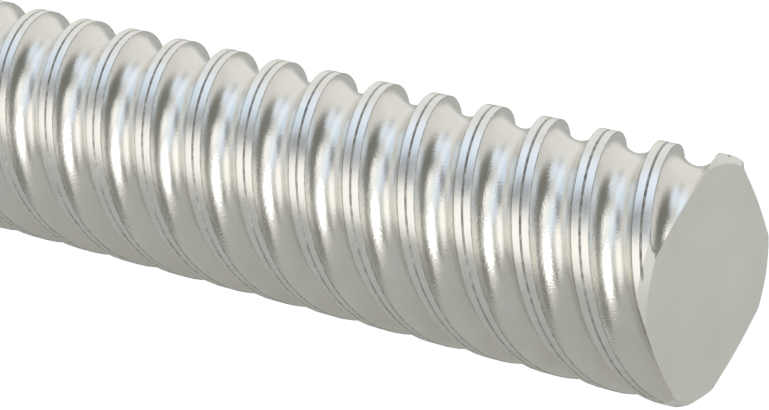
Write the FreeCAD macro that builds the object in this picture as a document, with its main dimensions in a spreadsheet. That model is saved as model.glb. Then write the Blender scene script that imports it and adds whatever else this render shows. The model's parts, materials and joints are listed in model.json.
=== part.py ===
import FreeCAD, Part
import math
import os
import re
import Sketcher

# Ball screw assembly: a four-start rolled ball screw that is held at one end and free at the other.
# Frame: +X runs along the screw towards its free end, +Z is up, and the origin is in the middle of the
# underside of the bearing housing.  Lengths are in millimetres.

SIZES = {
    # screw, nominal 25.4 ball circle with a 25.4 lead
    "axis_height": 39,
    "lead": 25.4,
    "starts": 4,
    "land_radius": 11.8,
    "groove_radius": 2.33,
    "groove_depth": 1.63,
    "seam_width": 0.28,
    "seam_depth": 0.15,
    "thread_start": 30,
    "thread_end": 335,
    "groove_offset": 3.995,
    "end_bevel": 0.73,
    # journals of the screw
    "journal_radius": 8.5,
    "journal_end": -37,
    "nut_thread_end": -24,
    "nut_thread_relief": 0.6,
    "drive_radius": 6,
    "drive_end": -62,
    "key_width": 4,
    "key_depth": 2.5,
    "key_length": 16,
    # bearings, 17 x 40 x 12 angular contact
    "bearing_width": 12,
    "bearing_outer": 20,
    "bearing_corner": 0.6,
    "ball_pitch_radius": 14.25,
    "bearing_ball_radius": 3.175,
    "race_radius": 3.302,
    "bearing_ball_count": 11,
    "shoulder_high": 1.35,
    "shoulder_low": 2.35,
    "cage_inner": 13.3,
    "cage_outer": 15.2,
    "cage_width": 10.8,
    "cage_pocket_radius": 3.3,
    # bearing housing
    "housing_length": 35,
    "housing_width": 86,
    "housing_height": 64,
    "shoulder_height": 27,
    "block_width": 50,
    "housing_bevel": 4,
    "edge_bevel": 0.8,
    "seal_seat_radius": 15,
    "mount_spacing": 68,
    "mount_hole_radius": 4.5,
    "counterbore_radius": 7.5,
    "counterbore_depth": 9,
    # bearing cover
    "cover_side": 46,
    "cover_thickness": 6,
    "cover_corner": 7,
    "cover_bore": 14,
    "seal_shoulder": 2.5,
    "screw_offset": 17.5,
    "cover_hole_radius": 2.25,
    "cover_screw_radius": 1.98,
    "cover_screw_length": 12,
    "cap_head_radius": 3.5,
    "cap_head_height": 4,
    "cap_socket": 3,
    "socket_depth_share": 0.6,
    "head_seat_radius": 3.9,
    "head_seat_depth": 4.2,
    "tapped_radius": 2,
    "tapped_depth": 12,
    # seals and collars
    "collar_radius": 11,
    "collar_bevel": 0.5,
    "seal_width": 5,
    "seal_wall": 1.5,
    "seal_lip_radius": 11.08,
    "seal_lip_face": 3.5,
    "rear_seal_inset": 0.2,
    # lock nut
    "lock_nut_radius": 16,
    "lock_nut_width": 10,
    "lock_nut_bevel": 1,
    "spanner_slot_width": 4,
    "spanner_slot_depth": 2.2,
    "spanner_slot_count": 4,
    "lock_screw_radius": 2,
    "lock_screw_length": 5,
    "lock_pad_length": 2,
    "lock_pad_gap": 0.2,
    "spanner_slot_length": 6,
    "lock_screw_socket": 2,
    # ball nut
    "nut_groove_count": 28,
    "nut_rear": 50,
    "nut_front": 42,
    "spigot_length": 14,
    "spigot_radius": 19,
    "nut_radius": 21,
    "nut_bevel": 1,
    "nut_bore": 13.3,
    "nut_groove_centre": 12.62,
    "flat_height": 19,
    "flat_half_length": 31,
    "ball_circle": 12.7,
    "circuit_turns": 1.5,
    "circuits": 2,
    "ball_radius": 1.984375,
    "balls_per_circuit": 52,
    # return tubes and clamps
    "tube_height": 22,
    "tube_bend": 8,
    "tube_outer": 2.55,
    "tube_inner": 2.15,
    "tube_seat": 2.62,
    "channel_radius": 2.2,
    "tube_foot": 8.2,
    "clamp_thickness": 1.5,
    "clamp_half_width": 3.6,
    "clamp_screw_offset": 7,
    "clamp_hole_radius": 1.7,
    "clamp_screw_radius": 1.45,
    "clamp_screw_length": 4.2,
    "clamp_head_radius": 2.7,
    "clamp_head_height": 1.9,
    "clamp_socket": 2,
    "thread_play": 0.03,
    # flange of the nut
    "flange_radius": 38,
    "flange_thickness": 13,
    "flange_bevel": 1,
    "flange_hole_radius": 3.5,
    "flange_hole_circle": 30,
    "flange_hole_count": 4,
    "flange_screw_radius": 2.5,
    "flange_screw_length": 10,
    "flange_screw_socket": 2.5,
    # wipers and their rings
    "wiper_radius": 15,
    "wiper_clearance": 0.3,
    "recess_depth": 6.4,
    "ring_lip": 1.2,
    "ring_slot": 1.1,
    "ring_width": 1,
    "ring_outer": 16,
    "ring_inner": 13.8,
    "ring_gap": 7,
    # grease fitting
    "grease_offset": 31,
    "grease_thread_radius": 3,
    "grease_thread_length": 4.5,
    "grease_seat_depth": 4.8,
    "grease_passage": 1.5,
    "grease_collar_height": 2.4,
    "grease_bead_radius": 2.6,
    "grease_bead_length": 0.9,
    "grease_tip_length": 0.7,
    "grease_tip_radius": 1.4,
    "grease_neck": 1.9,
    "grease_head": 3.2,
    "grease_head_height": 6,
}

MARGIN = 1.0            # how far a cutting tool runs past the face that it starts from
GROOVE_POINTS = 13      # points on each interpolated groove of a thread's section
TUBE_STEPS = 2000       # steps along a return tube's path at which a ball may be put
FLAT = 1e-3             # a box no thicker than this is flat
ROUND_END = "0.01"      # a fillet stops this short of half the width that it rounds
V = FreeCAD.Vector

doc = FreeCAD.newDocument("ball_screw_assembly")
sheet = doc.addObject("Spreadsheet::Sheet", "sizes")
for row, (alias, size) in enumerate(SIZES.items(), 1):
    sheet.set(f"A{row}", alias)
    sheet.set(f"B{row}", str(size))
    sheet.setAlias(f"B{row}", alias)
doc.recompute()

nodes = []


# --- expressions over the sheet ---------------------------------------------------------------------

def number(text):
    """The number that an expression over the sheet's aliases comes to."""
    return float(sheet.evalExpression(text))


def bind(thing, path, text):
    """Tie a property to an expression in which every word but a function is one of the sheet's aliases."""
    thing.setExpression(path, re.sub(r"[a-z]\w*\b(?!\()", lambda word: "sizes." + word.group(), text))


def keep(thing, label):
    """Make a document object one of the assembly's pieces."""
    thing.Label = label
    nodes.append(thing)
    return thing


# --- PartDesign helpers -----------------------------------------------------------------------------

def new_body(name):
    return doc.addObject("PartDesign::Body", name)


def origin_feature(body, role):
    return next(item for item in body.Origin.OriginFeatures if item.Role == role)


def new_sketch(body, role, depth="0", rise="0"):
    """A sketch on one of the body's planes, moved along the plane's normal and up the plane."""
    sketch = body.newObject("Sketcher::SketchObject", body.Name + "_sketch")
    sketch.AttachmentSupport = [(origin_feature(body, role), "")]
    sketch.MapMode = "FlatFace"
    bind(sketch, "AttachmentOffset.Base.z", depth)
    bind(sketch, "AttachmentOffset.Base.y", rise)
    return sketch


def draw_outline(sketch, points):
    """A closed outline of straight lines whose corners are pairs of expressions."""
    corners = [V(number(across), number(up), 0) for across, up in points]
    first = sketch.GeometryCount
    count = len(points)
    for i in range(count):
        sketch.addGeometry(Part.LineSegment(corners[i], corners[(i + 1) % count]), False)
    for i in range(count):
        sketch.addConstraint(Sketcher.Constraint("Coincident", first + i, 2, first + (i + 1) % count, 1))
    for i, pair in enumerate(points):
        place_point(sketch, first + i, 1, pair)


def draw_circle(sketch, across, up, radius):
    centre = V(number(across), number(up), 0)
    circle = sketch.addGeometry(Part.Circle(centre, V(0, 0, 1), number(radius)), False)
    place_point(sketch, circle, 3, (across, up))
    size = sketch.addConstraint(Sketcher.Constraint("Radius", circle, number(radius)))
    bind(sketch, f"Constraints[{size}]", radius)


def place_point(sketch, geometry, point, pair):
    for kind, text in zip(("DistanceX", "DistanceY"), pair):
        distance = Sketcher.Constraint(kind, -1, 1, geometry, point, number(text))
        index = sketch.addConstraint(distance)
        bind(sketch, f"Constraints[{index}]", text)


def turn(body, points, kind="Revolution", rise="0"):
    """Turn an outline of (along the axis, radius) corners about the sketch's own X axis."""
    sketch = new_sketch(body, "XZ_Plane", rise=rise)
    draw_outline(sketch, points)
    feature = body.newObject("PartDesign::" + kind, body.Name + "_turned")
    feature.Profile = sketch
    feature.ReferenceAxis = (sketch, ["H_Axis"])
    feature.Angle = 360
    return feature


def turned_body(name, points):
    """A body turned about the screw's axis."""
    body = new_body(name)
    turn(body, points)
    bind(body, "Placement.Base.z", "axis_height")
    return body


def extrude(body, sketch, length, kind, both_ways=False, reverse=False):
    feature = body.newObject("PartDesign::" + kind, body.Name + "_" + kind.lower())
    feature.Profile = sketch
    bind(feature, "Length", length)
    feature.Midplane = both_ways
    feature.Reversed = reverse
    return feature


def polar_pattern(body, features, axis, count):
    pattern = body.newObject("PartDesign::PolarPattern", body.Name + "_pattern")
    pattern.Originals = features
    pattern.Axis = axis
    pattern.Angle = 360
    bind(pattern, "Occurrences", count)
    body.Tip = pattern
    return pattern


def dress_edges(body, kind, base, size, wanted):
    """A chamfer or fillet on those edges of a feature that pass a test."""
    doc.recompute()
    names = [f"Edge{i}" for i, edge in enumerate(base.Shape.Edges, 1) if wanted(edge.BoundBox)]
    feature = body.newObject("PartDesign::" + kind, body.Name + "_" + kind.lower())
    feature.Base = (base, names)
    bind(feature, "Size" if kind == "Chamfer" else "Radius", size)
    return feature


def along_x(box):
    return box.YLength < FLAT and box.ZLength < FLAT


def upright(box):
    return box.XLength < FLAT and box.YLength < FLAT


# --- Part helpers -----------------------------------------------------------------------------------

def primitive(kind, name, sizes, **fixed):
    """A Part primitive whose properties are bound to the sheet."""
    thing = doc.addObject("Part::" + kind, name)
    for path, text in sizes.items():
        bind(thing, path, text)
    for path, setting in fixed.items():
        setattr(thing, path, setting)
    return thing


def cut(name, base, tool):
    thing = doc.addObject("Part::Cut", name)
    thing.Base = base
    thing.Tool = tool
    return thing


def fuse(name, *pieces):
    thing = doc.addObject("Part::MultiFuse", name)
    thing.Shapes = list(pieces)
    return thing


def shaped(name, shape):
    """A feature whose shape is worked out from the sheet by this file, standing on the screw's axis."""
    thing = doc.addObject("Part::Feature", name)
    thing.Shape = shape
    bind(thing, "Placement.Base.z", "axis_height")
    return thing


def grub_screw(name, radius, length, socket, x, z):
    """A set screw that points down at the screw's axis from above, its hexagon socket uppermost."""
    shank = primitive("Cylinder", name + "_shank", {"Radius": radius, "Height": length})
    key = primitive("Prism", name + "_socket",
                    {"Circumradius": f"{socket} / sqrt(3)", "Height": length,
                     "Placement.Base.z": f"{length} - {socket}"}, Polygon=6)
    screw = cut(name, shank, key)
    bind(screw, "Placement.Base.x", x)
    bind(screw, "Placement.Base.z", f"axis_height + {z}")
    return screw


def cap_screw_shape(radius, length, head_radius, head_height, socket):
    """A socket head screw that points down from its seat at the origin."""
    shank = Part.makeCylinder(number(radius), number(length), V(0, 0, -number(length)))
    head = Part.makeCylinder(number(head_radius), number(head_height))
    across = number(socket) / math.sqrt(3)
    depth = number(f"socket_depth_share * {head_height}")
    corners = [V(across * math.cos(i * math.pi / 3), across * math.sin(i * math.pi / 3), 0) for i in range(7)]
    key = Part.Face(Part.makePolygon(corners)).extrude(V(0, 0, number(head_height)))
    key.translate(V(0, 0, number(head_height) - depth))
    return shank.fuse(head).removeSplitter().cut(key)


# --- threads ----------------------------------------------------------------------------------------

LEAD = number("lead")
STARTS = int(number("starts"))
PITCH = LEAD / STARTS


def groove_angle(x):
    """The angle, from +Y towards +Z, at which a groove's middle crosses the plane at x."""
    return 2 * math.pi * (x - number("thread_end") - number("groove_offset")) / LEAD


def polar(x, radius, angle):
    return V(x, radius * math.cos(angle), radius * math.sin(angle))


def thread_section(x, land, centre, groove, inward, seam_width=0.0, seam_depth=0.0):
    """The cross-section at x of a thread with round grooves, as a wire.

    land is the radius of the lands, centre the radius at which the groove's circle is centred, groove
    that circle's own radius, measured along the axis, and inward is 1 for a screw's grooves or -1 for a
    nut's.  A fine V seam runs along the middle of each land where seam_width isn't 0.
    """
    per_mm = 2 * math.pi / LEAD
    reach = math.acos(inward * (centre - land) / groove)
    half_groove = groove * math.sin(reach)
    half_land = PITCH / 2 - half_groove
    edges = []
    for start in range(STARTS):
        middle = groove_angle(x) + start * 2 * math.pi / STARTS
        points = []
        for i in range(GROOVE_POINTS):
            swing = -reach * math.cos(math.pi * i / (GROOVE_POINTS - 1))
            radius = centre - inward * groove * math.cos(swing)
            points.append(polar(x, radius, middle + groove * math.sin(swing) * per_mm))
        curve = Part.BSplineCurve()
        curve.interpolate(points)
        edges.append(curve.toShape())
        crest = middle + PITCH / 2 * per_mm
        spans = [(-half_land, half_land)]
        if seam_width:
            spans = [(-half_land, -seam_width / 2), (seam_width / 2, half_land)]
            bottom = polar(x, land - seam_depth, crest)
            for side in (-1, 1):
                lip = polar(x, land, crest + side * seam_width / 2 * per_mm)
                edges.append(Part.makeLine(lip, bottom))
        for low, high in spans:
            ends = [polar(x, land, crest + place * per_mm) for place in (low, (low + high) / 2, high)]
            edges.append(Part.Arc(*ends).toShape())
    return Part.Wire(Part.__sortEdges__(edges))


def twisted(section, x, length):
    """The solid that a cross-section sweeps as it turns once in every lead along the axis."""
    spine = Part.Wire([Part.makeLine(V(x, 0, 0), V(x + length, 0, 0))])
    guide = Part.makeLongHelix(LEAD, length, number("land_radius"))
    guide.rotate(V(0, 0, 0), V(0, 1, 0), 90)
    guide.translate(V(x, 0, 0))
    shell = Part.BRepOffsetAPI.MakePipeShell(spine)
    shell.setAuxiliarySpine(Part.Wire(guide.Edges), False, 0)
    shell.add(section)
    shell.build()
    shell.makeSolid()
    return shell.shape()


# --- the screw --------------------------------------------------------------------------------------

def make_screw():
    start = number("thread_start")
    section = thread_section(start, number("land_radius"),
                             number("land_radius - groove_depth + groove_radius"),
                             number("groove_radius"), 1, number("seam_width"), number("seam_depth"))
    thread = shaped("rolled_thread", twisted(section, start, number("thread_end - thread_start")))

    bevel = turned_body("end_bevel_tool", [
        (f"thread_end + {MARGIN}", f"land_radius - end_bevel - {MARGIN}"),
        (f"thread_end + {MARGIN}", f"land_radius + {MARGIN}"),
        (f"thread_end - end_bevel - {MARGIN}", f"land_radius + {MARGIN}")])
    bevelled = cut("bevelled_thread", thread, bevel)

    journals = turned_body("journals", [
        ("thread_start", "0"), ("thread_start", "journal_radius"),
        ("nut_thread_end + nut_thread_relief", "journal_radius"),
        ("nut_thread_end + nut_thread_relief", "journal_radius - nut_thread_relief"),
        ("nut_thread_end", "journal_radius - nut_thread_relief"),
        ("nut_thread_end", "journal_radius"),
        ("journal_end + nut_thread_relief", "journal_radius"),
        ("journal_end", "journal_radius - nut_thread_relief"),
        ("journal_end", "drive_radius"),
        ("drive_end + nut_thread_relief", "drive_radius"),
        ("drive_end", "drive_radius - nut_thread_relief"),
        ("drive_end", "0")])
    keyway = new_sketch(journals, "XY_Plane", depth="drive_radius - key_depth")
    draw_outline(keyway, [
        ("drive_end + key_width", "-key_width / 2"), ("drive_end + key_width + key_length", "-key_width / 2"),
        ("drive_end + key_width + key_length", "key_width / 2"), ("drive_end + key_width", "key_width / 2")])
    slot = extrude(journals, keyway, f"key_depth + {MARGIN}", "Pocket", reverse=True)
    dress_edges(journals, "Fillet", slot, f"key_width / 2 - {ROUND_END}",
                lambda box: box.ZLength > FLAT and upright(box))
    keep(fuse("ball_screw_shaft", bevelled, journals), "ball_screw_shaft")


# --- bearings ---------------------------------------------------------------------------------------

def make_bearing(letter, side):
    """One angular contact bearing beside the plane x = 0, on the side that side gives as 1 or -1."""
    prefix = f"bearing_{letter}_"
    middle = f"{side} * bearing_width / 2"
    high = f"{side} * bearing_width"

    def race(body):
        sketch = new_sketch(body, "XZ_Plane")
        draw_circle(sketch, middle, "ball_pitch_radius", "race_radius")
        groove = body.newObject("PartDesign::Groove", body.Name + "_race")
        groove.Profile = sketch
        groove.ReferenceAxis = (sketch, ["H_Axis"])
        groove.Angle = 360

    outer = turned_body(prefix + "outer_ring", [
        ("0", "ball_pitch_radius + shoulder_high"), (middle, "ball_pitch_radius + shoulder_high"),
        (middle, "ball_pitch_radius + shoulder_low"), (high, "ball_pitch_radius + shoulder_low"),
        (high, "bearing_outer - bearing_corner"), (f"{high} - {side} * bearing_corner", "bearing_outer"),
        (f"{side} * bearing_corner", "bearing_outer"), ("0", "bearing_outer - bearing_corner")])
    race(outer)
    keep(outer, prefix + "outer_ring")

    inner = turned_body(prefix + "inner_ring", [
        ("0", "ball_pitch_radius - shoulder_low"), (middle, "ball_pitch_radius - shoulder_low"),
        (middle, "ball_pitch_radius - shoulder_high"), (high, "ball_pitch_radius - shoulder_high"),
        (high, "journal_radius + bearing_corner"), (f"{high} - {side} * bearing_corner", "journal_radius"),
        (f"{side} * bearing_corner", "journal_radius"), ("0", "journal_radius + bearing_corner")])
    race(inner)
    keep(inner, prefix + "inner_ring")

    cage = turned_body(prefix + "cage", [
        (f"{middle} - cage_width / 2", "cage_inner"), (f"{middle} + cage_width / 2", "cage_inner"),
        (f"{middle} + cage_width / 2", "cage_outer"), (f"{middle} - cage_width / 2", "cage_outer")])
    pocket_sketch = new_sketch(cage, "XY_Plane")
    draw_circle(pocket_sketch, middle, "0", "cage_pocket_radius")
    pocket = extrude(cage, pocket_sketch, "bearing_outer", "Pocket", reverse=True)
    polar_pattern(cage, [pocket], (origin_feature(cage, "X_Axis"), [""]), "bearing_ball_count")
    keep(cage, prefix + "cage")

    count = int(number("bearing_ball_count"))
    balls = []
    for i in range(count):
        centre = polar(number(middle), number("ball_pitch_radius"), math.pi / 2 + i * 2 * math.pi / count)
        balls.append(Part.makeSphere(number("bearing_ball_radius"), centre))
    keep(shaped(prefix + "balls", Part.makeCompound(balls)), prefix + "balls")


# --- the bearing housing and what it holds ----------------------------------------------------------

def make_housing():
    body = new_body("bearing_housing")
    profile = new_sketch(body, "YZ_Plane")
    half = [("housing_width / 2", "0"), ("housing_width / 2", "shoulder_height"),
            ("block_width / 2", "shoulder_height"), ("block_width / 2", "housing_height - housing_bevel"),
            ("block_width / 2 - housing_bevel", "housing_height")]
    draw_outline(profile, half + [(f"-({across})", up) for across, up in reversed(half)])
    block = extrude(body, profile, "housing_length", "Pad", both_ways=True)
    dress_edges(body, "Chamfer", block, "edge_bevel", lambda box: box.XLength < FLAT and box.ZMax > FLAT)
    turn(body, [
        (f"-housing_length / 2 - {MARGIN}", "0"), (f"-housing_length / 2 - {MARGIN}", "seal_seat_radius"),
        ("-bearing_width", "seal_seat_radius"), ("-bearing_width", "bearing_outer"),
        (f"housing_length / 2 + {MARGIN}", "bearing_outer"), (f"housing_length / 2 + {MARGIN}", "0")],
        "Groove", rise="axis_height")
    for radius, floor in (("mount_hole_radius", "0"),
                          ("counterbore_radius", "shoulder_height - counterbore_depth")):
        holes = new_sketch(body, "XY_Plane", depth=floor)
        for side in ("-", ""):
            draw_circle(holes, "0", side + "mount_spacing / 2", radius)
        extrude(body, holes, "housing_height", "Pocket", reverse=True)
    taps = new_sketch(body, "YZ_Plane", depth="housing_length / 2", rise="axis_height")
    screw_circles(taps, "tapped_radius")
    extrude(body, taps, "tapped_depth", "Pocket")
    keep(body, "bearing_housing")


def screw_circles(sketch, radius):
    """A circle at each corner of the bearing cover, where a screw goes."""
    for across in ("-screw_offset", "screw_offset"):
        for up in ("-screw_offset", "screw_offset"):
            draw_circle(sketch, across, up, radius)


def make_cover():
    body = new_body("bearing_cover")
    face = "housing_length / 2 + cover_thickness"
    side = "cover_side / 2"
    plate_sketch = new_sketch(body, "YZ_Plane", depth="housing_length / 2")
    draw_outline(plate_sketch, [
        (f"-{side}", f"-{side}"), (side, f"-{side}"), (side, side), (f"-{side}", side)])
    plate = extrude(body, plate_sketch, "cover_thickness", "Pad")
    rounded = dress_edges(body, "Fillet", plate, "cover_corner", along_x)
    front = number(face)
    dress_edges(body, "Chamfer", rounded, "edge_bevel", lambda box: box.XMin > front - FLAT)
    spigot = new_sketch(body, "YZ_Plane", depth="bearing_width")
    draw_circle(spigot, "0", "0", "bearing_outer")
    extrude(body, spigot, f"housing_length / 2 - bearing_width + {MARGIN}", "Pad")
    turn(body, [
        (f"bearing_width - {MARGIN}", "0"), (f"bearing_width - {MARGIN}", "cover_bore"),
        ("bearing_width + seal_shoulder", "cover_bore"),
        ("bearing_width + seal_shoulder", "seal_seat_radius"),
        (f"{face} + {MARGIN}", "seal_seat_radius"), (f"{face} + {MARGIN}", "0")], "Groove")
    for radius, depth in (("cover_hole_radius", "cover_thickness"),
                          ("head_seat_radius", "head_seat_depth")):
        holes = new_sketch(body, "YZ_Plane", depth=face)
        screw_circles(holes, radius)
        extrude(body, holes, depth, "Pocket")
    bind(body, "Placement.Base.z", "axis_height")
    keep(body, "bearing_cover")

    screw = cap_screw_shape("cover_screw_radius", "cover_screw_length", "cap_head_radius",
                            "cap_head_height", "cap_socket")
    seat = number(f"{face} - head_seat_depth")
    offset = number("screw_offset")
    screws = []
    for y in (-offset, offset):
        for z in (-offset, offset):
            placed = screw.copy()
            placed.Placement = FreeCAD.Placement(V(seat, y, z), FreeCAD.Rotation(V(0, 1, 0), 90))
            screws.append(placed)
    keep(shaped("cover_screws", Part.makeCompound(screws)), "cover_screws")


def make_seal(name, outer_face, side):
    """A lip seal whose closed face is at outer_face and whose lip points along side, 1 or -1."""
    steps = [("0", "seal_seat_radius"), ("seal_width", "seal_seat_radius"),
             ("seal_width", "seal_seat_radius - seal_wall"), ("seal_wall", "seal_seat_radius - seal_wall"),
             ("seal_wall", "collar_radius + seal_wall"),
             ("seal_lip_face", "collar_radius + seal_wall / 2"),
             ("seal_lip_face", "seal_lip_radius"), ("seal_wall", "seal_lip_radius"),
             ("0", "collar_radius + seal_wall / 2")]
    keep(turned_body(name, [(f"{outer_face} + {side} * ({x})", radius) for x, radius in steps]), name)


def make_collar(name, low, high):
    """A plain spacing collar on the bearing journal, bevelled outside."""
    keep(turned_body(name, [
        (low, "journal_radius"), (low, "collar_radius - collar_bevel"),
        (f"{low} + collar_bevel", "collar_radius"),
        (f"{high} - collar_bevel", "collar_radius"), (high, "collar_radius - collar_bevel"),
        (high, "journal_radius")]), name)


def make_lock_nut():
    front = "nut_thread_end"
    middle = "nut_thread_end - lock_nut_width / 2"
    rear = "nut_thread_end - lock_nut_width"
    body = turned_body("lock_nut", [
        (front, "journal_radius"), (front, "lock_nut_radius - lock_nut_bevel"),
        (f"{front} - lock_nut_bevel", "lock_nut_radius"), (f"{rear} + lock_nut_bevel", "lock_nut_radius"),
        (rear, "lock_nut_radius - lock_nut_bevel"), (rear, "journal_radius")])
    slot_sketch = new_sketch(body, "YZ_Plane", depth=rear)
    slot_sketch.AttachmentOffset.Rotation = FreeCAD.Rotation(V(0, 0, 1), 45)
    half = "spanner_slot_width / 2"
    floor = "lock_nut_radius - spanner_slot_depth"
    top = f"lock_nut_radius + {MARGIN}"
    draw_outline(slot_sketch, [(floor, f"-{half}"), (top, f"-{half}"), (top, half), (floor, half)])
    slot = extrude(body, slot_sketch, "spanner_slot_length", "Pocket", reverse=True)
    polar_pattern(body, [slot], (origin_feature(body, "X_Axis"), [""]), "spanner_slot_count")
    hole_sketch = new_sketch(body, "XY_Plane")
    draw_circle(hole_sketch, middle, "0", "lock_screw_radius")
    hole = extrude(body, hole_sketch, top, "Pocket", reverse=True)
    body.Tip = hole
    keep(body, "lock_nut")

    pad = primitive("Cylinder", "lock_nut_pad", {
        "Radius": "lock_screw_radius", "Height": "lock_pad_length", "Placement.Base.x": middle,
        "Placement.Base.z": "axis_height + journal_radius + lock_pad_gap"})
    keep(pad, "lock_nut_pad")
    keep(grub_screw("lock_nut_set_screw", "lock_screw_radius", "lock_screw_length", "lock_screw_socket",
                    middle, "journal_radius + lock_pad_gap + lock_pad_length"), "lock_nut_set_screw")


# --- the ball nut -----------------------------------------------------------------------------------

NUT_CENTRE = "(thread_end + groove_offset - nut_groove_count * lead / starts - circuit_turns * lead / 2)"
NUT_REAR = f"({NUT_CENTRE} - nut_rear)"
NUT_FRONT = f"({NUT_CENTRE} + nut_front)"
NUT_SHOULDER = f"({NUT_REAR} + spigot_length)"


def tube_corners():
    """The corners of a return tube's path: it leaves the loaded turns along the helix and crosses over."""
    reach = number("circuit_turns") * LEAD / 2
    radius = number("ball_circle")
    height = number("tube_height")
    lean = height * LEAD / (2 * math.pi * radius)
    centre = number(NUT_CENTRE)
    foot_a = V(centre - reach, -radius, 0)
    foot_b = V(centre + reach, radius, 0)
    return [foot_a, foot_a + V(-lean, 0, height), foot_b + V(lean, 0, height), foot_b]


def tube_path(foot):
    """The tube's centre line, from foot up the first leg to foot up the second, as lines and arcs."""
    corners = tube_corners()
    bend = number("tube_bend")
    up = (corners[1] - corners[0]).normalize()
    down = (corners[3] - corners[2]).normalize()
    across = (corners[2] - corners[1]).normalize()
    edges = []
    at = corners[0] + up * foot
    for corner, before, after in ((corners[1], up, across), (corners[2], across, down)):
        half_turn = before.getAngle(after) / 2
        tangent = bend * math.tan(half_turn)
        inward = (after - before).normalize()
        apex = corner + inward * (bend / math.cos(half_turn) - bend)
        first = corner - before * tangent
        last = corner + after * tangent
        edges.append(Part.makeLine(at, first))
        edges.append(Part.Arc(first, apex, last).toShape())
        at = last
    edges.append(Part.makeLine(at, corners[3] - down * foot))
    return Part.Wire(edges)


def pipe(path, radius):
    """A round bar along a path."""
    start = path.Edges[0].valueAt(path.Edges[0].FirstParameter)
    along = path.Edges[0].tangentAt(path.Edges[0].FirstParameter)
    ring = Part.Wire([Part.makeCircle(radius, start, along)])
    return path.makePipeShell([ring], True, False)


def half_turns(shape, circuit):
    """A copy of a shape turned about the screw's axis to stand where a circuit's own pieces stand."""
    turned = shape.copy()
    turned.rotate(V(0, 0, 0), V(1, 0, 0), 360 / number("circuits") * circuit)
    return turned


def make_nut_body():
    blank = turned_body("nut_blank", [
        (NUT_REAR, "0"), (NUT_REAR, "spigot_radius - nut_bevel"),
        (f"{NUT_REAR} + nut_bevel", "spigot_radius"),
        (NUT_SHOULDER, "spigot_radius"), (NUT_SHOULDER, "nut_radius"),
        (f"{NUT_FRONT} - nut_bevel", "nut_radius"), (NUT_FRONT, "nut_radius - nut_bevel"), (NUT_FRONT, "0")])
    for side in ("", "-"):
        top = f"{side}(nut_radius + {MARGIN})"
        floor = f"{side}flat_height"
        flat = new_sketch(blank, "XZ_Plane")
        draw_outline(flat, [
            (f"{NUT_CENTRE} - flat_half_length", floor), (f"{NUT_CENTRE} + flat_half_length", floor),
            (f"{NUT_CENTRE} + flat_half_length", top), (f"{NUT_CENTRE} - flat_half_length", top)])
        extrude(blank, flat, "2 * nut_radius", "Pocket", both_ways=True)
    for end, inwards in ((NUT_REAR, "1"), (NUT_FRONT, "-1")):
        steps = [(f"-{MARGIN}", "0"), (f"-{MARGIN}", "wiper_radius"), ("ring_lip", "wiper_radius"),
                 ("ring_lip", "ring_outer"), ("ring_lip + ring_slot", "ring_outer"),
                 ("ring_lip + ring_slot", "wiper_radius"), ("recess_depth", "wiper_radius"),
                 ("recess_depth", "0")]
        turn(blank, [(f"{end} + {inwards} * ({x})", radius) for x, radius in steps], "Groove")
    grease = new_sketch(blank, "XZ_Plane")
    draw_circle(grease, f"{NUT_CENTRE} + grease_offset", "0", "grease_passage")
    extrude(blank, grease, "nut_radius * 2", "Pocket")
    seat = new_sketch(blank, "XZ_Plane", depth="-nut_radius")
    draw_circle(seat, f"{NUT_CENTRE} + grease_offset", "0", "grease_thread_radius")
    extrude(blank, seat, "grease_seat_depth", "Pocket", reverse=True)

    section = thread_section(number(f"{NUT_REAR} - {MARGIN}"), number("nut_bore"),
                             number("nut_groove_centre"), number("groove_radius"), -1)
    core = shaped("nut_thread_core", twisted(section, number(f"{NUT_REAR} - {MARGIN}"),
                                             number(f"nut_rear + nut_front + 2 * {MARGIN}")))
    threaded = cut("threaded_blank", blank, core)

    corners = tube_corners()
    up = (corners[1] - corners[0]).normalize()
    seat_bar = pipe(tube_path(number("tube_foot")), number("tube_seat"))
    reach = number("tube_foot") + MARGIN
    channels = [Part.makeCylinder(number("channel_radius"), reach, corners[0], up),
                Part.makeCylinder(number("channel_radius"), reach, corners[3],
                                  (corners[2] - corners[3]).normalize())]
    holes = []
    for y in (-1, 1):
        place = V(*clamp_screw_place(y), number("flat_height - clamp_screw_length"))
        holes.append(Part.makeCylinder(number("clamp_screw_radius + thread_play"),
                                       number("nut_radius"), place))
    tools = []
    for circuit in range(int(number("circuits"))):
        tools += [half_turns(tool, circuit) for tool in [seat_bar] + channels + holes]
    passages = shaped("ball_passages", Part.makeCompound(tools))
    keep(cut("nut_body", threaded, passages), "nut_body")


def clamp_angle():
    corners = tube_corners()
    across = corners[2] - corners[1]
    return math.atan2(across.y, across.x)


def clamp_screw_place(side):
    """Where a clamp's screw stands beside the tube, as X and Y."""
    offset = side * number("clamp_screw_offset")
    angle = clamp_angle()
    return number(NUT_CENTRE) - offset * math.sin(angle), offset * math.cos(angle)


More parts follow.
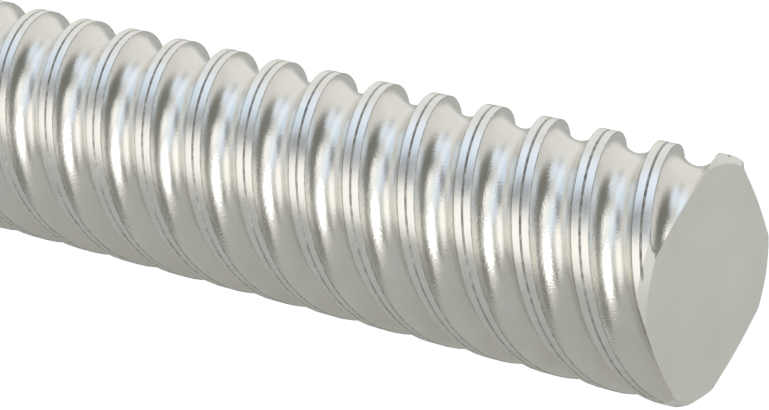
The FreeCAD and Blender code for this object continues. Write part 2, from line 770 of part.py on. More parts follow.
def make_circuit(circuit):
    """A return tube, its clamp and its load of balls."""
    path = tube_path(number("tube_foot"))
    tube = pipe(path, number("tube_outer")).cut(pipe(path, number("tube_inner")))
    keep(shaped(f"return_tube_{circuit + 1}", half_turns(tube, circuit)), f"return_tube_{circuit + 1}")

    name = f"tube_clamp_{circuit + 1}"
    body = new_body(name)
    rise = "tube_height - flat_height"
    length = "2 * clamp_half_width"
    reach = "clamp_screw_offset + clamp_half_width"
    strap_sketch = new_sketch(body, "YZ_Plane")
    draw_outline(strap_sketch, [(f"-({reach})", "0"), (reach, "0"), (reach, "clamp_thickness"),
                                (f"-({reach})", "clamp_thickness")])
    strap = extrude(body, strap_sketch, length, "Pad", both_ways=True)
    dress_edges(body, "Fillet", strap, f"clamp_half_width - {ROUND_END}", upright)
    hump = new_sketch(body, "YZ_Plane")
    draw_circle(hump, "0", rise, "tube_seat + clamp_thickness")
    extrude(body, hump, length, "Pad", both_ways=True)
    bore = new_sketch(body, "YZ_Plane")
    draw_circle(bore, "0", rise, "tube_seat")
    extrude(body, bore, f"{length} + 2 * {MARGIN}", "Pocket", both_ways=True)
    mouth = new_sketch(body, "YZ_Plane")
    draw_outline(mouth, [("-tube_seat", f"-{MARGIN}"), ("tube_seat", f"-{MARGIN}"), ("tube_seat", rise),
                         ("-tube_seat", rise)])
    extrude(body, mouth, f"{length} + 2 * {MARGIN}", "Pocket", both_ways=True)
    below = new_sketch(body, "YZ_Plane")
    draw_outline(below, [("-nut_radius", "-nut_radius"), ("nut_radius", "-nut_radius"), ("nut_radius", "0"),
                         ("-nut_radius", "0")])
    extrude(body, below, f"{length} + 2 * {MARGIN}", "Pocket", both_ways=True)
    holes = new_sketch(body, "XY_Plane")
    for side in ("-", ""):
        draw_circle(holes, "0", side + "clamp_screw_offset", "clamp_hole_radius")
    extrude(body, holes, "nut_radius", "Pocket", both_ways=True)
    turned = FreeCAD.Rotation(V(1, 0, 0), 360 / number("circuits") * circuit)
    centre = V(number(NUT_CENTRE), 0, number("flat_height"))
    lift = V(0, 0, number("axis_height"))
    body.Placement = FreeCAD.Placement(turned.multVec(centre) + lift,
                                       turned * FreeCAD.Rotation(V(0, 0, 1), math.degrees(clamp_angle())))
    keep(body, name)

    keep(shaped(f"balls_circuit_{circuit + 1}", Part.makeCompound(circuit_balls(circuit))),
         f"balls_circuit_{circuit + 1}")


def circuit_balls(circuit):
    """Spheres at even steps round a closed path: the loaded turns, then back through the tube."""
    corners = tube_corners()
    turns = number("circuit_turns")
    radius = number("ball_circle")
    helix_length = turns * math.hypot(2 * math.pi * radius, LEAD)
    back = Part.Wire(list(reversed(tube_path(0.0).Edges)))
    total = helix_length + back.Length
    count = int(number("balls_per_circuit"))
    along_tube = list(reversed(tube_path(0.0).discretize(Number=TUBE_STEPS + 1)))
    balls = []
    for i in range(count):
        travelled = i * total / count
        if travelled < helix_length:
            angle = math.pi + 2 * math.pi * turns * travelled / helix_length
            x = corners[0].x + turns * LEAD * travelled / helix_length
            centre = polar(x, radius, angle)
        else:
            place = (travelled - helix_length) / back.Length
            centre = along_tube[round(place * TUBE_STEPS)]
        balls.append(half_turns(Part.makeSphere(number("ball_radius"), centre), circuit))
    return balls


def make_clamp_screws():
    screw = cap_screw_shape("clamp_screw_radius", "clamp_screw_length", "clamp_head_radius",
                            "clamp_head_height", "clamp_socket")
    screws = []
    for circuit in range(int(number("circuits"))):
        for side in (-1, 1):
            placed = screw.copy()
            placed.translate(V(*clamp_screw_place(side), number("flat_height + clamp_thickness")))
            screws.append(half_turns(placed, circuit))
    keep(shaped("clamp_screws", Part.makeCompound(screws)), "clamp_screws")


def make_flange():
    front = NUT_SHOULDER
    rear = f"({NUT_SHOULDER} - flange_thickness)"
    middle = f"{NUT_SHOULDER} - flange_thickness / 2"
    body = turned_body("nut_flange", [
        (rear, "spigot_radius"), (rear, "flange_radius - flange_bevel"),
        (f"{rear} + flange_bevel", "flange_radius"), (f"{front} - flange_bevel", "flange_radius"),
        (front, "flange_radius - flange_bevel"), (front, "spigot_radius")])
    hole_sketch = new_sketch(body, "YZ_Plane", depth=front)
    across = "flange_hole_circle / sqrt(2)"
    draw_circle(hole_sketch, across, across, "flange_hole_radius")
    hole = extrude(body, hole_sketch, f"flange_thickness + {MARGIN}", "Pocket")
    polar_pattern(body, [hole], (origin_feature(body, "X_Axis"), [""]), "flange_hole_count")
    doc.recompute()
    tap_sketch = new_sketch(body, "XY_Plane")
    draw_circle(tap_sketch, middle, "0", "flange_screw_radius")
    body.Tip = extrude(body, tap_sketch, f"flange_radius + {MARGIN}", "Pocket", reverse=True)
    keep(body, "nut_flange")
    keep(grub_screw("flange_set_screw", "flange_screw_radius", "flange_screw_length", "flange_screw_socket",
                    middle, "spigot_radius"), "flange_set_screw")


def make_wiper(name, end, inwards):
    """A wiper whose bore follows the screw's own section, and the snap ring that holds it."""
    near = f"({end} + {inwards} * (ring_lip + ring_slot))"
    far = f"({end} + {inwards} * recess_depth)"
    ring = turned_body("wiper_blank_" + name, [
        (near, "0"), (near, "wiper_radius"), (far, "wiper_radius"), (far, "0")])
    low = min(number(near), number(far)) - MARGIN
    section = thread_section(low, number("land_radius + wiper_clearance"),
                             number("land_radius - groove_depth + groove_radius"),
                             number("groove_radius - wiper_clearance"), 1)
    core = shaped("wiper_core_" + name, twisted(section, low, number("recess_depth") + 2 * MARGIN))
    keep(cut("wiper_" + name, ring, core), "wiper_" + name)

    outer_face = f"({end} + {inwards} * (ring_lip + (ring_slot - ring_width) / 2))"
    inner_face = f"({outer_face} + {inwards} * ring_width)"
    snap = turned_body("wiper_ring_" + name, [
        (outer_face, "ring_inner"), (outer_face, "ring_outer"), (inner_face, "ring_outer"),
        (inner_face, "ring_inner")])
    gap = new_sketch(snap, "YZ_Plane")
    draw_outline(gap, [("-ring_gap / 2", "0"), ("ring_gap / 2", "0"), ("ring_gap / 2", "-nut_radius"),
                       ("-ring_gap / 2", "-nut_radius")])
    extrude(snap, gap, "2 * thread_end", "Pocket", both_ways=True)
    keep(snap, "wiper_ring_" + name)


def make_grease_fitting():
    """A grease nipple that screws into the side of the nut."""
    body = new_body("grease_fitting")
    sketch = new_sketch(body, "YZ_Plane")
    base = "nut_radius - grease_thread_length"
    top = "nut_radius + grease_head_height"
    tip = f"{top} - grease_tip_length"
    draw_outline(sketch, [
        (base, "0"), (base, "grease_thread_radius - thread_play"),
        ("nut_radius", "grease_thread_radius - thread_play"),
        ("nut_radius", "grease_head"), ("nut_radius + grease_collar_height", "grease_neck"),
        (f"{tip} - grease_bead_length", "grease_neck"), (f"{tip} - grease_bead_length", "grease_bead_radius"),
        (tip, "grease_bead_radius"), (top, "grease_tip_radius"), (top, "0")])
    nipple = body.newObject("PartDesign::Revolution", "grease_fitting_turned")
    nipple.Profile = sketch
    nipple.ReferenceAxis = (sketch, ["H_Axis"])
    nipple.Angle = 360
    bind(body, "Placement.Base.x", f"{NUT_CENTRE} + grease_offset")
    bind(body, "Placement.Base.z", "axis_height")
    keep(body, "grease_fitting")


# --- the assembly -----------------------------------------------------------------------------------

make_screw()
for letter, side in (("a", 1), ("b", -1)):
    make_bearing(letter, side)
make_housing()
make_cover()
make_seal("oil_seal_front", "bearing_width + seal_shoulder + seal_width", -1)
make_seal("oil_seal_rear", "-housing_length / 2 + rear_seal_inset", 1)
make_collar("shaft_collar_front", "bearing_width", "thread_start")
make_collar("shaft_collar_rear", "nut_thread_end", "-bearing_width")
make_lock_nut()
make_nut_body()
for circuit in range(int(number("circuits"))):
    make_circuit(circuit)
make_clamp_screws()
make_flange()
make_wiper("rear", NUT_REAR, "1")
make_wiper("front", NUT_FRONT, "-1")
make_grease_fitting()
doc.recompute()

for thing in doc.Objects:
    if "Invalid" in thing.State or "Error" in thing.State:
        raise RuntimeError(f"{thing.Name} failed to recompute: {thing.State}")
os.makedirs("parts", exist_ok=True)
for thing in nodes:
    shape = thing.Shape
    if shape.isNull() or not shape.isValid() or not shape.Solids:
        raise RuntimeError(f"{thing.Label} has no valid solid")
    shape.exportStep(f"parts/{thing.Label}.step")
    print(f"{thing.Label:24s} solids {len(shape.Solids):3d}  volume {shape.Volume:10.1f} mm3")
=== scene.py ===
import json
import math

import bmesh
import bpy
import numpy as np
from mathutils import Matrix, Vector


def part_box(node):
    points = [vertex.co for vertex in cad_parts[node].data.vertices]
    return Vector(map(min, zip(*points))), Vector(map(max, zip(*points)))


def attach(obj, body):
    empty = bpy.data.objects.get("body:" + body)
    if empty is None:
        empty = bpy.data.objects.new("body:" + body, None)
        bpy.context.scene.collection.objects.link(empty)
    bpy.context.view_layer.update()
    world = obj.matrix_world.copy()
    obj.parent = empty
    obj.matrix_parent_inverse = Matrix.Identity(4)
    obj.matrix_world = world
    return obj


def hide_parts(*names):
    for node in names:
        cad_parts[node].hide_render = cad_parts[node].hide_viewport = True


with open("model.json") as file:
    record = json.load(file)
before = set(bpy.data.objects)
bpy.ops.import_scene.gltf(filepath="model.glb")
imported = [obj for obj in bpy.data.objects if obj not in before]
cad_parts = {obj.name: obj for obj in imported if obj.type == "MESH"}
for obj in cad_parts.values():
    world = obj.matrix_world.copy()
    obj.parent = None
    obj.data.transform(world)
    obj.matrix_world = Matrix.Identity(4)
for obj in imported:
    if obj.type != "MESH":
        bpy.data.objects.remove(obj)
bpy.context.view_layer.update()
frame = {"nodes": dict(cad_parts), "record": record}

MM = 0.001

# The thread's sizes in millimetres, as the part states them.
LEAD = 25.4
STARTS = 4
PITCH = LEAD / STARTS
LAND = 11.8                     # radius of the lands
GROOVE = 2.33                   # radius of the groove's arc
DEPTH = 1.63
SEAM_WIDTH = 0.28
SEAM_DEPTH = 0.15
SEAM_LIP_WIDTH = 0.03           # the seam's sides start with a steeper lip
SEAM_LIP_DEPTH = 0.035
GROOVE_OFFSET = 3.995           # on the +Y side, a groove's middle would lie this far past the free end
THREAD_START = 30.0
BEVEL = 0.73

# The land's broken edge: its width, and points across it as shares of that width, (out, down).
EDGE = 0.06
EDGE_POINTS = ((0.0, 0.3), (0.35, 0.08))

# How finely the thread is drawn: steps across a groove, rings along the bevel, and the rings' spacing.
GROOVE_STEPS = 28
BEVEL_RINGS = 7
RING_STEP = 0.45

# The journals behind the thread.
JOURNAL = 8.5
DRIVE = 6.0
RELIEF = 0.6                    # depth of the undercut and of the end's bevel
LOCK_THREAD_TOP = -24.0
LOCK_THREAD_END = -37.0
LOCK_THREAD_PITCH = 1.0
LOCK_THREAD_DEPTH = 0.55
LOCK_THREAD_RINGS = 90
KEYWAY_HALF = 2.0
KEYWAY_DEPTH = 2.5
KEYWAY_LOW = 6.0                # the centres of its round ends, from the drive end
KEYWAY_HIGH = 18.0
KEYWAY_ARC_STEPS = 12
KEYWAY_SPARE = 2.0              # how far its cutter stands out of the journal

shaft_low, shaft_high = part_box("ball_screw_shaft")
THREAD_END = shaft_high.x / MM
DRIVE_END = shaft_low.x / MM
AXIS = (shaft_low.z + shaft_high.z) / 2

# The screw's material slots.
IN_GROOVE, ON_LAND, CUT, TURNED, SEAM_AND_EDGE_SHADE = range(5)


# --- the screw's mesh -------------------------------------------------------------------------------

def thread_profile():
    """One pitch of the screw as (distance along the axis from the groove's middle, radius, surface).

    surface is the material slot of the strip that starts at the point.
    """
    centre = LAND - DEPTH + GROOVE
    reach = math.acos((centre - LAND) / GROOVE)
    half = GROOVE * math.sin(reach)
    middle = PITCH / 2
    side = SEAM_WIDTH / 2
    points = []
    for i in range(GROOVE_STEPS + 1):
        swing = reach * (2 * i / GROOVE_STEPS - 1) * (1 - EDGE / half)
        surface = IN_GROOVE if i < GROOVE_STEPS else SEAM_AND_EDGE_SHADE
        points.append((GROOVE * math.sin(swing), centre - GROOVE * math.cos(swing), surface))
    # The broken edge beside the groove takes the seam's material: painted shade.
    for out, down in EDGE_POINTS:
        points.append((half + EDGE * out, LAND - EDGE * down, SEAM_AND_EDGE_SHADE))
    points += [
        (half + EDGE, LAND, ON_LAND),
        ((half + middle - side) / 2, LAND, ON_LAND),
        # The seam's V and the next broken edge take the same painted-shade material.
        (middle - side, LAND, SEAM_AND_EDGE_SHADE),
        (middle - side + SEAM_LIP_WIDTH, LAND - SEAM_LIP_DEPTH, SEAM_AND_EDGE_SHADE),
        (middle, LAND - SEAM_DEPTH, SEAM_AND_EDGE_SHADE),
        (middle + side - SEAM_LIP_WIDTH, LAND - SEAM_LIP_DEPTH, SEAM_AND_EDGE_SHADE),
        (middle + side, LAND, ON_LAND),
        ((PITCH - half + middle + side) / 2, LAND, ON_LAND),
        (PITCH - half - EDGE, LAND, SEAM_AND_EDGE_SHADE),
    ]
    for out, down in reversed(EDGE_POINTS):
        points.append((PITCH - (half + EDGE * out), LAND - EDGE * down, SEAM_AND_EDGE_SHADE))
    return points


def outside(x):
    """The screw's largest radius at x: the land, or the bevel at the free end."""
    return LAND - max(0.0, x - (THREAD_END - BEVEL))


def thread_rings():
    """The thread's rings as (x, radii, angles), from its free end to its start."""
    profile = thread_profile()
    turn = 2 * math.pi / LEAD
    offsets = np.array([point[0] for point in profile])
    radii = np.tile([point[1] for point in profile], STARTS)
    angles = np.concatenate([offsets * turn + k * 2 * math.pi / STARTS for k in range(STARTS)])
    bevel_start = THREAD_END - BEVEL
    count = round((bevel_start - THREAD_START) / RING_STEP)
    places = [*np.linspace(THREAD_END, bevel_start, BEVEL_RINGS),
              *np.linspace(bevel_start, THREAD_START, count + 1)[1:]]
    return [(x, np.minimum(radii, outside(x)), angles + turn * (x - THREAD_END - GROOVE_OFFSET))
            for x in places]


def turned_rings(angles):
    """The journals' rings behind the thread: plain lathe steps and the lock nut's thread."""
    def steps(*places):
        return [(x, np.full(len(angles), r), angles) for x, r in places]

    undercut = LOCK_THREAD_TOP + RELIEF
    rings = steps((THREAD_START, JOURNAL), (undercut, JOURNAL), (undercut, JOURNAL - RELIEF),
                  (LOCK_THREAD_TOP, JOURNAL - RELIEF))
    for x in np.linspace(LOCK_THREAD_TOP - 0.02, LOCK_THREAD_END + RELIEF, LOCK_THREAD_RINGS):
        wave = np.abs(((x - angles / (2 * math.pi)) % LOCK_THREAD_PITCH) * 2 - 1)
        rings.append((x, JOURNAL - LOCK_THREAD_DEPTH * np.clip(wave * 1.3 - 0.1, 0, 1), angles))
    return rings + steps((LOCK_THREAD_END, JOURNAL - RELIEF), (LOCK_THREAD_END, DRIVE),
                         (DRIVE_END + RELIEF, DRIVE), (DRIVE_END, DRIVE - RELIEF))


def to_mesh(bm, name):
    """The work mesh as a named mesh."""
    mesh = bpy.data.meshes.new(name)
    bm.to_mesh(mesh)
    bm.free()
    return mesh


def add_object(name, mesh):
    """A named object in the scene."""
    made = bpy.data.objects.new(name, mesh)
    bpy.context.scene.collection.objects.link(made)
    return made


def add_rings(bm, rings):
    """Ring after ring of vertices joined by faces."""
    made = []
    for x, radii, angles in rings:
        made.append([bm.verts.new((x * MM, r * math.cos(a) * MM, AXIS + r * math.sin(a) * MM))
                     for r, a in zip(radii, angles)])
    for near, far in zip(made, made[1:]):
        join_rings(bm, near, far)
    return made


def join_rings(bm, near, far):
    """The faces between two rings of vertices."""
    faces = []
    for i in range(len(near)):
        j = (i + 1) % len(near)
        faces.append(bm.faces.new((near[i], near[j], far[j], far[i])))
    return faces


def cap(bm, ring, x, flip):
    """A flat end at x: a fan of faces from a point on the axis to the ring."""
    middle = bm.verts.new((x * MM, 0, AXIS))
    faces = []
    for i in range(len(ring)):
        j = (i + 1) % len(ring)
        corners = (middle, ring[j], ring[i]) if flip else (middle, ring[i], ring[j])
        faces.append(bm.faces.new(corners))
    return faces


def keyway_cutter():
    """The keyway's slot with round ends, as a closed solid."""
    outline = []
    for centre, start in ((DRIVE_END + KEYWAY_HIGH, -90), (DRIVE_END + KEYWAY_LOW, 90)):
        for i in range(KEYWAY_ARC_STEPS + 1):
            a = math.radians(start + i * 180 / KEYWAY_ARC_STEPS)
            outline.append((centre + KEYWAY_HALF * math.cos(a), KEYWAY_HALF * math.sin(a)))
    bm = bmesh.new()
    low, high = [[bm.verts.new((x * MM, y * MM, AXIS + z * MM)) for x, y in outline]
                 for z in (DRIVE - KEYWAY_DEPTH, DRIVE + KEYWAY_SPARE)]
    bm.faces.new(list(reversed(low)))
    bm.faces.new(high)
    join_rings(bm, low, high)
    return add_object("keyway", to_mesh(bm, "keyway"))


def journals_mesh(angles):
    """Everything behind the thread, with the keyway cut out of the drive journal."""
    bm = bmesh.new()
    made = add_rings(bm, turned_rings(angles))
    cap(bm, made[0], THREAD_START, True)
    cap(bm, made[-1], DRIVE_END, False)
    bmesh.ops.recalc_face_normals(bm, faces=bm.faces)
    stub = add_object("journals", to_mesh(bm, "journals"))
    cutter = keyway_cutter()
    cut = stub.modifiers.new("keyway", "BOOLEAN")
    cut.operation = "DIFFERENCE"
    cut.solver = "EXACT"
    cut.object = cutter
    bpy.context.view_layer.update()
    mesh = bpy.data.meshes.new_from_object(stub.evaluated_get(bpy.context.evaluated_depsgraph_get()))
    bpy.data.objects.remove(stub)
    bpy.data.objects.remove(cutter)
    return mesh


def is_bevel(face):
    """Whether a face of the thread lies on the bevel at the free end."""
    xs = [v.co.x / MM for v in face.verts]
    rs = [math.hypot(v.co.y, v.co.z - AXIS) / MM for v in face.verts]
    beyond = min(xs) > THREAD_END - BEVEL - RING_STEP / 2
    return beyond and all(abs(r - outside(x)) < 1e-3 for x, r in zip(xs, rs))


def make_screw(materials):
    """The whole screw as one closed mesh, in place of the CAD shaft."""
    rings = thread_rings()
    angles = rings[-1][2]
    bm = bmesh.new()
    bm.from_mesh(journals_mesh(angles))
    inner = [f for f in bm.faces if all(abs(v.co.x - THREAD_START * MM) < 1e-7 for v in f.verts)]
    bmesh.ops.delete(bm, geom=inner, context="FACES")
    for face in bm.faces:
        face.material_index = TURNED

    first = len(bm.faces)
    made = add_rings(bm, rings)
    journal_end = [bm.verts.new((THREAD_START * MM,
                                 JOURNAL * math.cos(a) * MM,
                                 AXIS + JOURNAL * math.sin(a) * MM)) for a in angles]
    flat = join_rings(bm, made[-1], journal_end) + cap(bm, made[0], THREAD_END, False)
    surfaces = [point[2] for point in thread_profile()] * STARTS
    bm.faces.ensure_lookup_table()
    for i in range(len(surfaces) * (len(rings) - 1)):
        bm.faces[first + i].material_index = surfaces[i % len(surfaces)]
    for face in flat:
        face.material_index = CUT
    for face in bm.faces:
        if face.material_index != TURNED and is_bevel(face):
            face.material_index = CUT
    bmesh.ops.remove_doubles(bm, verts=bm.verts, dist=1e-7)
    bmesh.ops.recalc_face_normals(bm, faces=bm.faces)

    mesh = to_mesh(bm, "rolled_screw")
    for material in materials:
        mesh.materials.append(material)
    mesh.shade_smooth()
    mesh.set_sharp_from_angle(angle=math.radians(24))
    screw = add_object("rolled_screw", mesh)
    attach(screw, "screw")
    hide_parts("ball_screw_shaft")


# --- materials --------------------------------------------------------------------------------------

class Shader:
    """A material and short calls that add nodes to it."""

    def __init__(self, name, metallic=1.0):
        self.material = bpy.data.materials.new(name)
        self.material.use_nodes = True
        self.tree = self.material.node_tree
        self.bsdf = self.tree.nodes["Principled BSDF"]
        self.bsdf.inputs["Metallic"].default_value = metallic
        self.place = self.tree.nodes.new("ShaderNodeTexCoord").outputs["Object"]

    def noise(self, scale, detail=3.0, roughness=0.5, stretch=None):
        """A noise pattern, finer along each axis by its stretch."""
        node = self.tree.nodes.new("ShaderNodeTexNoise")
        node.inputs["Scale"].default_value = scale
        node.inputs["Detail"].default_value = detail
        node.inputs["Roughness"].default_value = roughness
        place = self.place
        if stretch:
            mapping = self.tree.nodes.new("ShaderNodeMapping")
            mapping.inputs["Scale"].default_value = stretch
            self.tree.links.new(place, mapping.inputs["Vector"])
            place = mapping.outputs["Vector"]
        self.tree.links.new(place, node.inputs["Vector"])
        return node.outputs["Fac"]

    def span(self, value, low, high, window=(0.3, 0.7)):
        """Go from low to high while value crosses the window."""
        node = self.tree.nodes.new("ShaderNodeMapRange")
        node.inputs["From Min"].default_value = window[0]
        node.inputs["From Max"].default_value = window[1]
        node.inputs["To Min"].default_value = low
        node.inputs["To Max"].default_value = high
        self.tree.links.new(value, node.inputs["Value"])
        return node.outputs["Result"]

    def colour(self, value, dark, light, window=(0.3, 0.7)):
        """Base colour from dark to light while value crosses the window."""
        node = self.tree.nodes.new("ShaderNodeMix")
        node.data_type = "RGBA"
        first, second = [socket for socket in node.inputs if socket.type == "RGBA"]
        first.default_value = (*dark, 1)
        second.default_value = (*light, 1)
        self.tree.links.new(self.span(value, 0, 1, window), node.inputs["Factor"])
        mixed = next(socket for socket in node.outputs if socket.type == "RGBA")
        self.tree.links.new(mixed, self.bsdf.inputs["Base Color"])

    def roughness(self, value, low, high):
        """Roughness from low to high with value."""
        self.tree.links.new(self.span(value, low, high), self.bsdf.inputs["Roughness"])

    def bump(self, height, distance, strength):
        """Raise the surface by height, up to distance in metres."""
        node = self.tree.nodes.new("ShaderNodeBump")
        node.inputs["Distance"].default_value = distance
        node.inputs["Strength"].default_value = strength
        self.tree.links.new(height, node.inputs["Height"])
        self.tree.links.new(node.outputs["Normal"], self.bsdf.inputs["Normal"])


def rolled_groove():
    """The grooves as rolled: bright, with a fine grain."""
    shader = Shader("rolled groove")
    grain = shader.noise(5200, 1.5, 0.6)
    cloud = shader.noise(260, 3, 0.6)
    # The base colour is a little darker than the land's: painted shade in the groove.
    shader.colour(cloud, (0.79, 0.78, 0.74), (0.85, 0.84, 0.81))
    shader.roughness(cloud, 0.13, 0.20)
    shader.bump(grain, 0.00002, 1.0)
    return shader.material


def rolled_land():
    """The lands as rolled: a little duller than the grooves."""
    shader = Shader("rolled land")
    grain = shader.noise(7000, 3, 0.6)
    cloud = shader.noise(400, 3, 0.6)
    shader.colour(cloud, (0.83, 0.82, 0.79), (0.89, 0.88, 0.86))
    shader.roughness(cloud, 0.22, 0.32)
    shader.bump(grain, 0.00001, 0.35)
    return shader.material


def seam_and_edge_shade():
    """The seam along a land's middle and the land's rolled edges: rougher than the land, with a dark colour
    that is painted shade in the seam's V and on the broken edges.
    """
    shader = Shader("rolled seam")
    cloud = shader.noise(1500, 4, 0.7)
    # The dark to mid grey colour is painted shade, far darker than the land's own steel.
    shader.colour(cloud, (0.38, 0.375, 0.36), (0.70, 0.695, 0.67), (0.35, 0.65))
    shader.roughness(cloud, 0.34, 0.46)
    shader.bump(cloud, 0.00001, 0.3)
    return shader.material


def cut_face():
    """The sawn and bevelled free end, and the thread's shoulder: matt, with a faint mottle, and a very pale
    colour that is painted light.
    """
    shader = Shader("cut face")
    cloud = shader.noise(190, 4, 0.6)
    grain = shader.noise(5200, 2, 0.6)
    # The near-white colour is painted light: it lifts the end's reflection above what its surroundings
    # give.
    shader.colour(cloud, (0.93, 0.92, 0.885), (0.97, 0.965, 0.93))
    shader.roughness(cloud, 0.5, 0.58)
    shader.bump(grain, 0.00001, 0.4)
    return shader.material


def metal(name, dark, light, rough, scale=900.0, stretch=None, bump=0.2):
    """A machined or polished metal, with rough as its least and greatest roughness."""
    shader = Shader(name)
    grain = shader.noise(scale, 4, 0.6, stretch)
    cloud = shader.noise(120, 3, 0.6)
    shader.colour(cloud, dark, light)
    shader.roughness(grain, *rough)
    shader.bump(grain, 0.00002, bump)
    return shader.material


def plastic(name, dark, light, rough, scale=1500.0, bump=0.3):
    """A plastic, a rubber or a black oxide skin, with rough as its least and greatest roughness."""
    shader = Shader(name, metallic=0.0)
    grain = shader.noise(scale, 4, 0.6)
    cloud = shader.noise(90, 3, 0.6)
    shader.colour(cloud, dark, light)
    shader.roughness(grain, *rough)
    shader.bump(grain, 0.00004, bump)
    return shader.material


TURNING_MARKS = (60.0, 1.0, 1.0)        # grain drawn out round the screw's axis


def screw_materials():
    """The screw's materials in the order of its slots."""
    journal = metal("turned journal", (0.6, 0.6, 0.6), (0.7, 0.7, 0.69), (0.16, 0.28), 500, TURNING_MARKS)
    return [rolled_groove(), rolled_land(), cut_face(), journal, seam_and_edge_shade()]


def node_materials():
    """The material of every slot in the record but the screw's own."""
    return {
        "bearing_steel": metal(
            "ground bearing steel", (0.60, 0.60, 0.61), (0.70, 0.70, 0.71), (0.16, 0.26)),
        "ball_steel": metal(
            "polished ball steel", (0.72, 0.72, 0.73), (0.80, 0.80, 0.81), (0.05, 0.09), bump=0.02),
        "cage_plastic": plastic(
            "moulded polyamide", (0.62, 0.55, 0.40), (0.68, 0.61, 0.46), (0.38, 0.5)),
        "housing_black": plastic(
            "black oxide", (0.018, 0.018, 0.02), (0.035, 0.035, 0.038), (0.32, 0.48), 2200, 0.5),
        "ground_steel": metal(
            "ground collar steel", (0.55, 0.55, 0.55), (0.64, 0.64, 0.64), (0.2, 0.32), 400, TURNING_MARKS),
        "nut_steel": metal(
            "ground nut steel", (0.46, 0.46, 0.46), (0.56, 0.56, 0.555), (0.22, 0.34), 500, TURNING_MARKS),
        "tube_steel": metal(
            "drawn tube steel", (0.60, 0.60, 0.60), (0.70, 0.70, 0.69), (0.18, 0.28)),
        "clamp_steel": metal(
            "pressed clamp steel", (0.52, 0.52, 0.51), (0.62, 0.62, 0.60), (0.28, 0.4)),
        "black_screws": plastic(
            "black oxide screws", (0.014, 0.014, 0.016), (0.03, 0.03, 0.033), (0.3, 0.42), 2600, 0.4),
        "lock_nut_steel": plastic(
            "black oxide lock nut", (0.02, 0.02, 0.022), (0.04, 0.04, 0.043), (0.28, 0.4), 2000, 0.4),
        "spring_steel": metal(
            "phosphated spring steel", (0.12, 0.12, 0.13), (0.18, 0.18, 0.2), (0.35, 0.5)),
        "pad_brass": metal(
            "turned brass", (0.66, 0.47, 0.18), (0.76, 0.57, 0.26), (0.2, 0.3)),
        "seal_rubber": plastic(
            "nitrile rubber", (0.012, 0.012, 0.012), (0.025, 0.025, 0.025), (0.5, 0.65), 1800, 0.5),
        "wiper_plastic": plastic(
            "wiper plastic", (0.70, 0.69, 0.64), (0.80, 0.79, 0.75), (0.4, 0.55)),
    }


def paint_nodes(materials):
    """Give each CAD node the material of its slot."""
    for entry in frame["record"]["subparts"]:
        node = frame["nodes"][entry["node"]]
        material = materials.get(entry["material_slot"])
        if material:
            for slot in node.material_slots:
                slot.material = material


# --- stage ------------------------------------------------------------------------------------------

FLOOR_SIDE = 6.0                        # half its width, in metres
FLOOR_COLOUR = (0.6, 0.59, 0.56, 1)
FLOOR_GLOW = (0.62, 0.63, 0.66, 1)      # added for camera rays only, so that the floor looks white


def floor_material():
    """A pale floor that glows to the camera and to nothing else."""
    material = bpy.data.materials.new("floor")
    material.use_nodes = True
    tree = material.node_tree
    tree.nodes.clear()
    ray = tree.nodes.new("ShaderNodeLightPath")
    glow = tree.nodes.new("ShaderNodeEmission")
    glow.inputs["Color"].default_value = FLOOR_GLOW
    pale = tree.nodes.new("ShaderNodeBsdfDiffuse")
    pale.inputs["Color"].default_value = FLOOR_COLOUR
    both = tree.nodes.new("ShaderNodeAddShader")
    out = tree.nodes.new("ShaderNodeOutputMaterial")
    tree.links.new(ray.outputs["Is Camera Ray"], glow.inputs["Strength"])
    tree.links.new(pale.outputs[0], both.inputs[0])
    tree.links.new(glow.outputs[0], both.inputs[1])
    tree.links.new(both.outputs[0], out.inputs["Surface"])
    return material


def make_floor():
    """A square floor at the part's mounting face."""
    bm = bmesh.new()
    signs = ((-1, -1), (1, -1), (1, 1), (-1, 1))
    bm.faces.new([bm.verts.new((x * FLOOR_SIDE, y * FLOOR_SIDE, 0)) for x, y in signs])
    floor = add_object("floor", to_mesh(bm, "floor"))
    floor.data.materials.append(floor_material())


# Each soft light or dark flag round the studio: azimuth, elevation, the radii in degrees at which it
# begins to show and is full, and its colour.  Azimuth 0 is the -Y side and 90 the +X side.
STUDIO = [
    (-150, 20, 60, 20, (0.84, 0.83, 0.80)),
    (120, 52, 34, 14, (0.20, 0.20, 0.18)),
    (96, 33, 20, 6, (0.26, 0.26, 0.24)),
    (76, 9, 22, 8, (0.24, 0.24, 0.225)),
    (5, 8, 15, 4, (0.36, 0.36, 0.34)),
    (-55, 53, 22, 6, (0.34, 0.36, 0.38)),
    (-150, 62, 20, 6, (0.52, 0.52, 0.50)),
    (-110, 62, 24, 8, (0.92, 1.02, 1.15)),
    (-88, 50, 16, 5, (0.74, 0.88, 1.02)),
    (-178, 65, 18, 5, (0.86, 0.95, 1.05)),
    (5, 64, 26, 9, (0.96, 1.04, 1.12)),
    (-22, 51, 15, 4, (0.74, 0.82, 0.95)),
    (68, 63, 18, 6, (1.15, 1.15, 1.10)),
    (-32, 22, 25, 8, (1.22, 1.19, 1.12)),
    (37, 31, 24, 10, (2.2, 2.2, 2.15)),
]
STUDIO_WALLS = (0.70, 0.69, 0.66, 1)


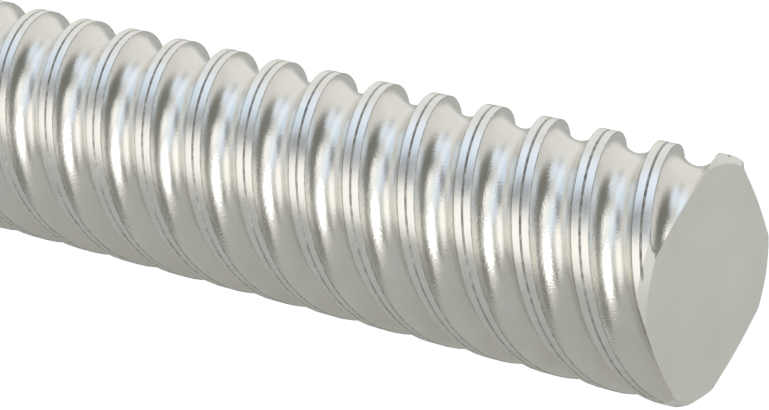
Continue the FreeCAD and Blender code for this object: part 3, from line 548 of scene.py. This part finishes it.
def make_lights():
    """A world of soft patches, each laid over the ones before it."""
    world = bpy.data.worlds.new("studio")
    bpy.context.scene.world = world
    world.use_nodes = True
    tree = world.node_tree
    place = tree.nodes.new("ShaderNodeTexCoord").outputs["Generated"]
    previous = None
    for azimuth, elevation, outer, inner, colour in STUDIO:
        az, el = math.radians(azimuth), math.radians(elevation)
        towards = tree.nodes.new("ShaderNodeVectorMath")
        towards.operation = "DOT_PRODUCT"
        level = math.cos(el)
        towards.inputs[1].default_value = (math.sin(az) * level, -math.cos(az) * level, math.sin(el))
        tree.links.new(place, towards.inputs[0])
        edge = tree.nodes.new("ShaderNodeMapRange")
        edge.interpolation_type = "SMOOTHSTEP"
        edge.inputs["From Min"].default_value = math.cos(math.radians(outer))
        edge.inputs["From Max"].default_value = math.cos(math.radians(inner))
        tree.links.new(towards.outputs["Value"], edge.inputs["Value"])
        mix = tree.nodes.new("ShaderNodeMix")
        mix.data_type = "RGBA"
        under, over = [socket for socket in mix.inputs if socket.type == "RGBA"]
        if previous is None:
            under.default_value = STUDIO_WALLS
        else:
            tree.links.new(previous, under)
        over.default_value = (*colour, 1)
        tree.links.new(edge.outputs["Result"], mix.inputs["Factor"])
        previous = next(socket for socket in mix.outputs if socket.type == "RGBA")
    tree.links.new(previous, tree.nodes["Background"].inputs["Color"])


LENS = 142.1                            # focal length in millimetres, on a 36 mm wide sensor
SENSOR = 36.0
SHIFT = (-0.0097, -0.0031)
CAMERA_PLACE = (126.8, -226.8, 98.9)    # in millimetres from the middle of the free end
CAMERA_LOOK = (-0.549, 0.767, -0.333)   # the direction in which it looks


def make_camera():
    """The free end seen from its own side, a little above, with a long lens."""
    data = bpy.data.cameras.new("camera")
    data.lens = LENS
    data.sensor_width = SENSOR
    data.shift_x, data.shift_y = SHIFT
    data.clip_start, data.clip_end = 0.01, 50
    camera = add_object("camera", data)
    camera.location = Vector((THREAD_END * MM, 0, AXIS)) + Vector(CAMERA_PLACE) * MM
    camera.rotation_mode = "QUATERNION"
    camera.rotation_quaternion = Vector(CAMERA_LOOK).to_track_quat("-Z", "Y")
    bpy.context.scene.camera = camera


make_screw(screw_materials())
paint_nodes(node_materials())
make_floor()
make_lights()
make_camera()
bpy.context.scene.view_settings.view_transform = "Standard"
